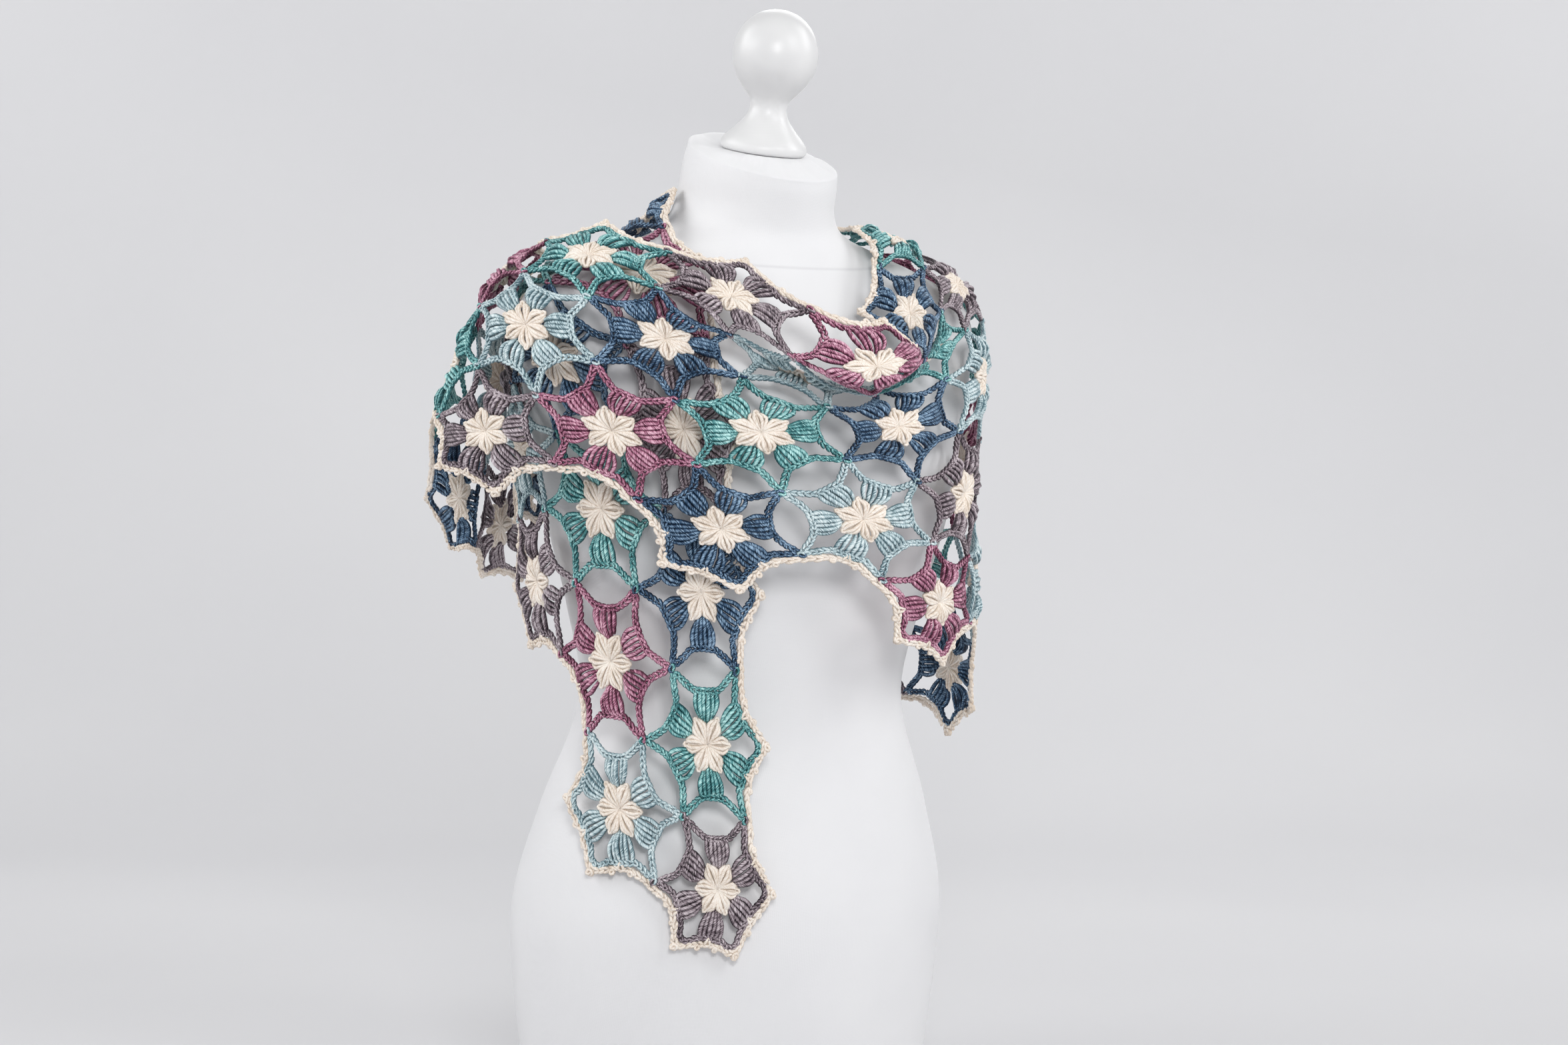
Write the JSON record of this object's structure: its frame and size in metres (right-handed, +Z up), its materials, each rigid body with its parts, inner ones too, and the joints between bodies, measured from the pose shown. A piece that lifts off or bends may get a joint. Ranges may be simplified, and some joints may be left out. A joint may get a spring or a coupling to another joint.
{
  "type": "crocheted shawl on a dress form",
  "caption": "Crocheted lace shawl of joined star motifs with a picot edging, wound round the shoulders of a limbless dress form with a turned neck cap.",
  "frame": {"origin": "on the flat base of the dress form, below the neck's middle", "axes": "+Z up, the dress form faces -Y, +X is the form's own left"},
  "size_m": [0.4405, 0.3643, 0.8217],
  "materials": {
    "yarn_teal": "crocheted yarn",
    "yarn_dusty_pink": "crocheted yarn",
    "yarn_light_blue": "crocheted yarn",
    "yarn_dark_blue": "crocheted yarn",
    "yarn_purplish_grey": "crocheted yarn",
    "yarn_cream": "crocheted yarn",
    "white_jersey": "stretched white jersey",
    "painted_cap": "white satin paint"
  },
  "bodies": {
    "root": {"edging_front_side": "yarn_cream", "edging_neck": "yarn_cream", "edging_over_side": "yarn_cream", "motif_back_row0_09": "yarn_light_blue", "motif_back_row0_10": "yarn_dark_blue", "motif_back_row0_11": "yarn_dusty_pink", "motif_back_row1_09": "yarn_purplish_grey", "motif_back_row1_10": "yarn_teal", "motif_back_row2_07": "yarn_dark_blue", "motif_back_row2_08": "yarn_dusty_pink", "motif_back_row2_09": "yarn_purplish_grey", "motif_back_row3_06": "yarn_teal", "motif_back_row3_07": "yarn_light_blue", "motif_back_row4_04": "yarn_dusty_pink", "motif_back_row4_05": "yarn_purplish_grey", "motif_chest_row0_04": "yarn_teal", "motif_chest_row0_05": "yarn_purplish_grey", "motif_chest_row0_06": "yarn_dusty_pink", "motif_chest_row1_03": "yarn_light_blue", "motif_chest_row1_04": "yarn_dark_blue", "motif_chest_row1_05": "yarn_light_blue", "motif_chest_row1_06": "yarn_teal", "motif_chest_row2_02": "yarn_dusty_pink", "motif_chest_row2_03": "yarn_teal", "motif_chest_row2_04": "yarn_dark_blue", "motif_chest_row3_01": "yarn_dark_blue", "motif_chest_row3_02": "yarn_light_blue", "motif_chest_row3_03": "yarn_purplish_grey", "motif_chest_row4_01": "yarn_dusty_pink", "motif_front_end_row0_12": "yarn_purplish_grey", "motif_front_end_row0_13": "yarn_dark_blue", "motif_front_end_row0_14": "yarn_teal", "motif_front_end_row0_15": "yarn_purplish_grey", "motif_front_end_row1_11": "yarn_dark_blue", "motif_front_end_row1_12": "yarn_teal", "motif_front_end_row1_13": "yarn_dusty_pink", "motif_front_end_row1_14": "yarn_light_blue", "motif_front_end_row2_10": "yarn_light_blue", "motif_front_end_row2_11": "yarn_purplish_grey", "motif_front_end_row3_08": "yarn_dark_blue", "motif_left_shoulder_row0_07": "yarn_dark_blue", "motif_left_shoulder_row0_08": "yarn_teal", "motif_left_shoulder_row1_07": "yarn_purplish_grey", "motif_left_shoulder_row1_08": "yarn_dusty_pink", "motif_left_shoulder_row2_05": "yarn_light_blue", "motif_left_shoulder_row2_06": "yarn_teal", "motif_left_shoulder_row3_04": "yarn_dusty_pink", "motif_left_shoulder_row3_05": "yarn_purplish_grey", "motif_left_shoulder_row4_02": "yarn_light_blue", "motif_left_shoulder_row4_03": "yarn_teal", "motif_left_shoulder_row5_01": "yarn_dark_blue", "motif_left_shoulder_row5_02": "yarn_purplish_grey", "motif_over_end_row0_01": "yarn_purplish_grey", "motif_over_end_row0_02": "yarn_light_blue", "motif_over_end_row0_03": "yarn_dusty_pink", "motif_over_end_row1_01": "yarn_dark_blue", "motif_over_end_row1_02": "yarn_teal", "motif_over_end_row2_01": "yarn_purplish_grey", "neck_cap": "painted_cap", "torso_form": "white_jersey"}
  },
  "joints": []
}
